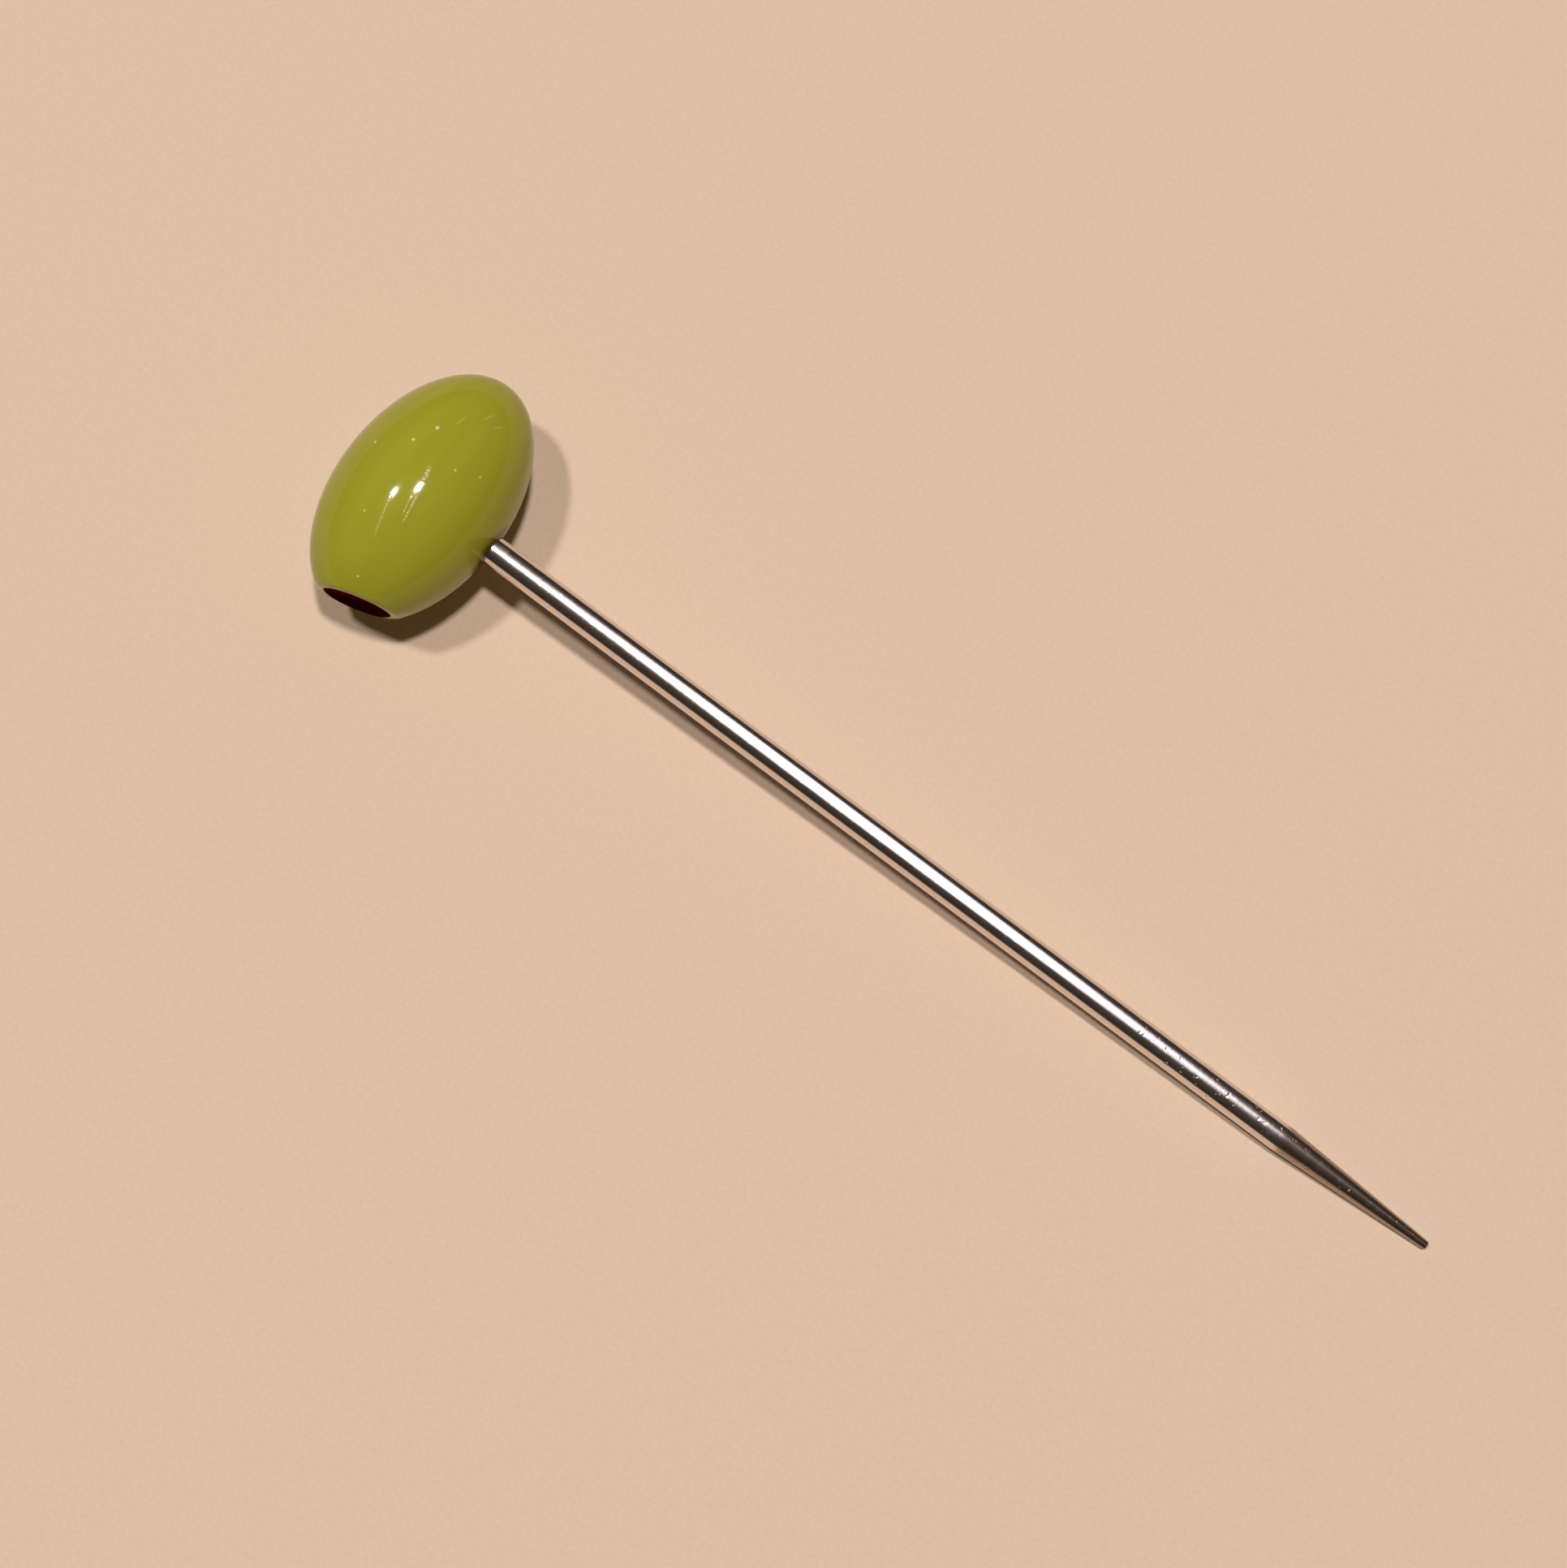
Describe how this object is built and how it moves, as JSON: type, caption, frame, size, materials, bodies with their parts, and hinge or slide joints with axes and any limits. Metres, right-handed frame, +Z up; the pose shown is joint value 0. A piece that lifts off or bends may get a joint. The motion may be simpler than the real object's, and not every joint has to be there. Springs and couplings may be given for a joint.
{
  "type": "cocktail pick",
  "caption": "Straight steel pick with a blunt ground point and an olive-shaped green glass head, set crosswise, with a red plug in its cut end.",
  "frame": {"origin": "on the table, under the middle of the pick's bounding box, with the pick lying on the belly of its head and on its point", "axes": "+X runs from the head towards the point, +Y along the olive's long axis away from its plugged end, +Z up from the table"},
  "size_m": [0.1078, 0.0222, 0.0141],
  "materials": {
    "shaft_steel": "drawn stainless steel rod, polished bright on the straight part and ground dull on the point",
    "olive_glass": "opaque yellow-green glass, hand worked, glossy with fine streaks along its length and small pits",
    "plug_glass": "opaque dark red glass, glossy",
    "adhesive": "clear epoxy, slightly amber"
  },
  "bodies": {
    "root": {"shaft": "shaft_steel", "olive": "olive_glass", "pimento_plug": "plug_glass", "shaft_adhesive": "adhesive", "plug_adhesive": "adhesive"}
  },
  "joints": []
}
